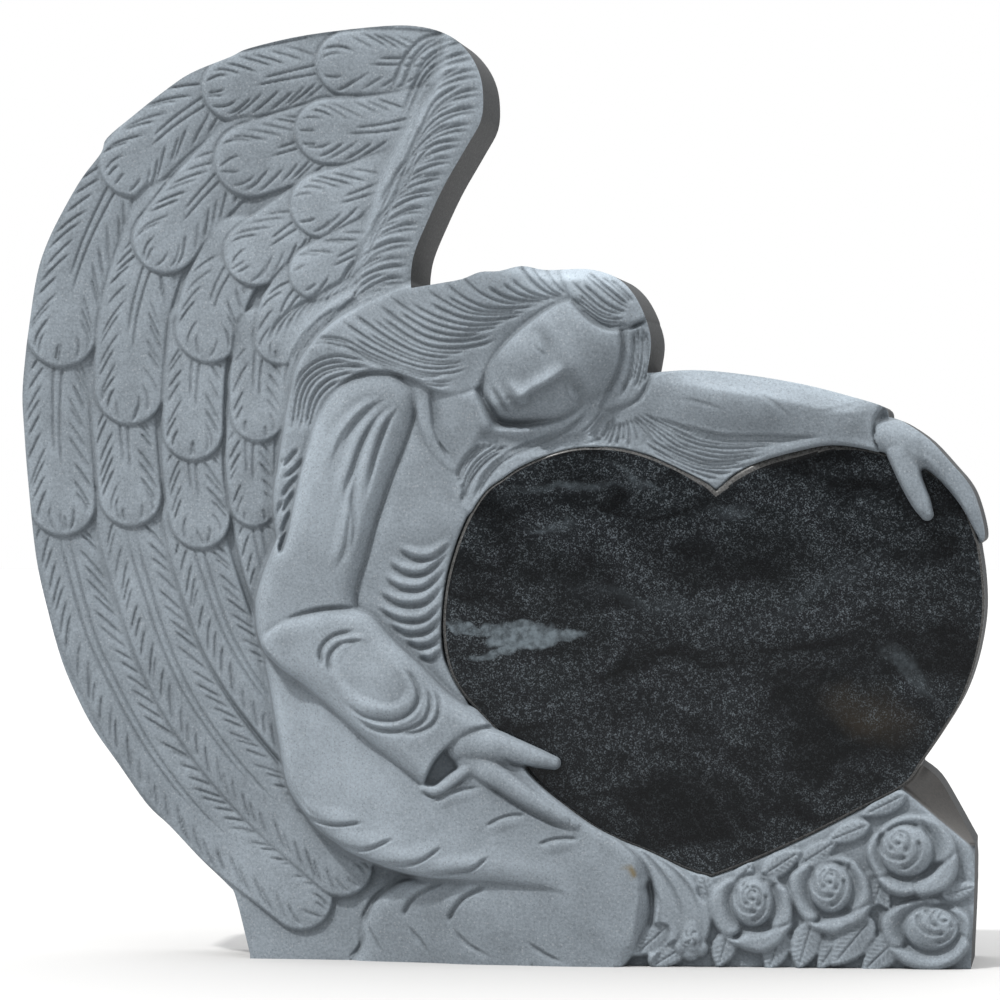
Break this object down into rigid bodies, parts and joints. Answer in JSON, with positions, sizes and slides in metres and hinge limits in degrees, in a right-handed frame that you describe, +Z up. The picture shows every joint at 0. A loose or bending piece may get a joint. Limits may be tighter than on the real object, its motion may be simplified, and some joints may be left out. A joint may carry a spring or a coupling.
{
  "type": "memorial monument",
  "caption": "Upright carved stone memorial: a kneeling winged figure leans over a polished heart, with roses along the base.",
  "frame": {"origin": "on the flat underside, at the middle of its length and of the block's thickness", "axes": "+Z up, -Y towards the viewer of the carved front, raised wing towards -X"},
  "size_m": [0.9698, 0.202, 0.9311],
  "materials": {
    "granite": "grey granite, matt and frosted where it is carved, polished dark on the heart"
  },
  "bodies": {
    "root": {"angel_monument": "granite"}
  },
  "joints": []
}
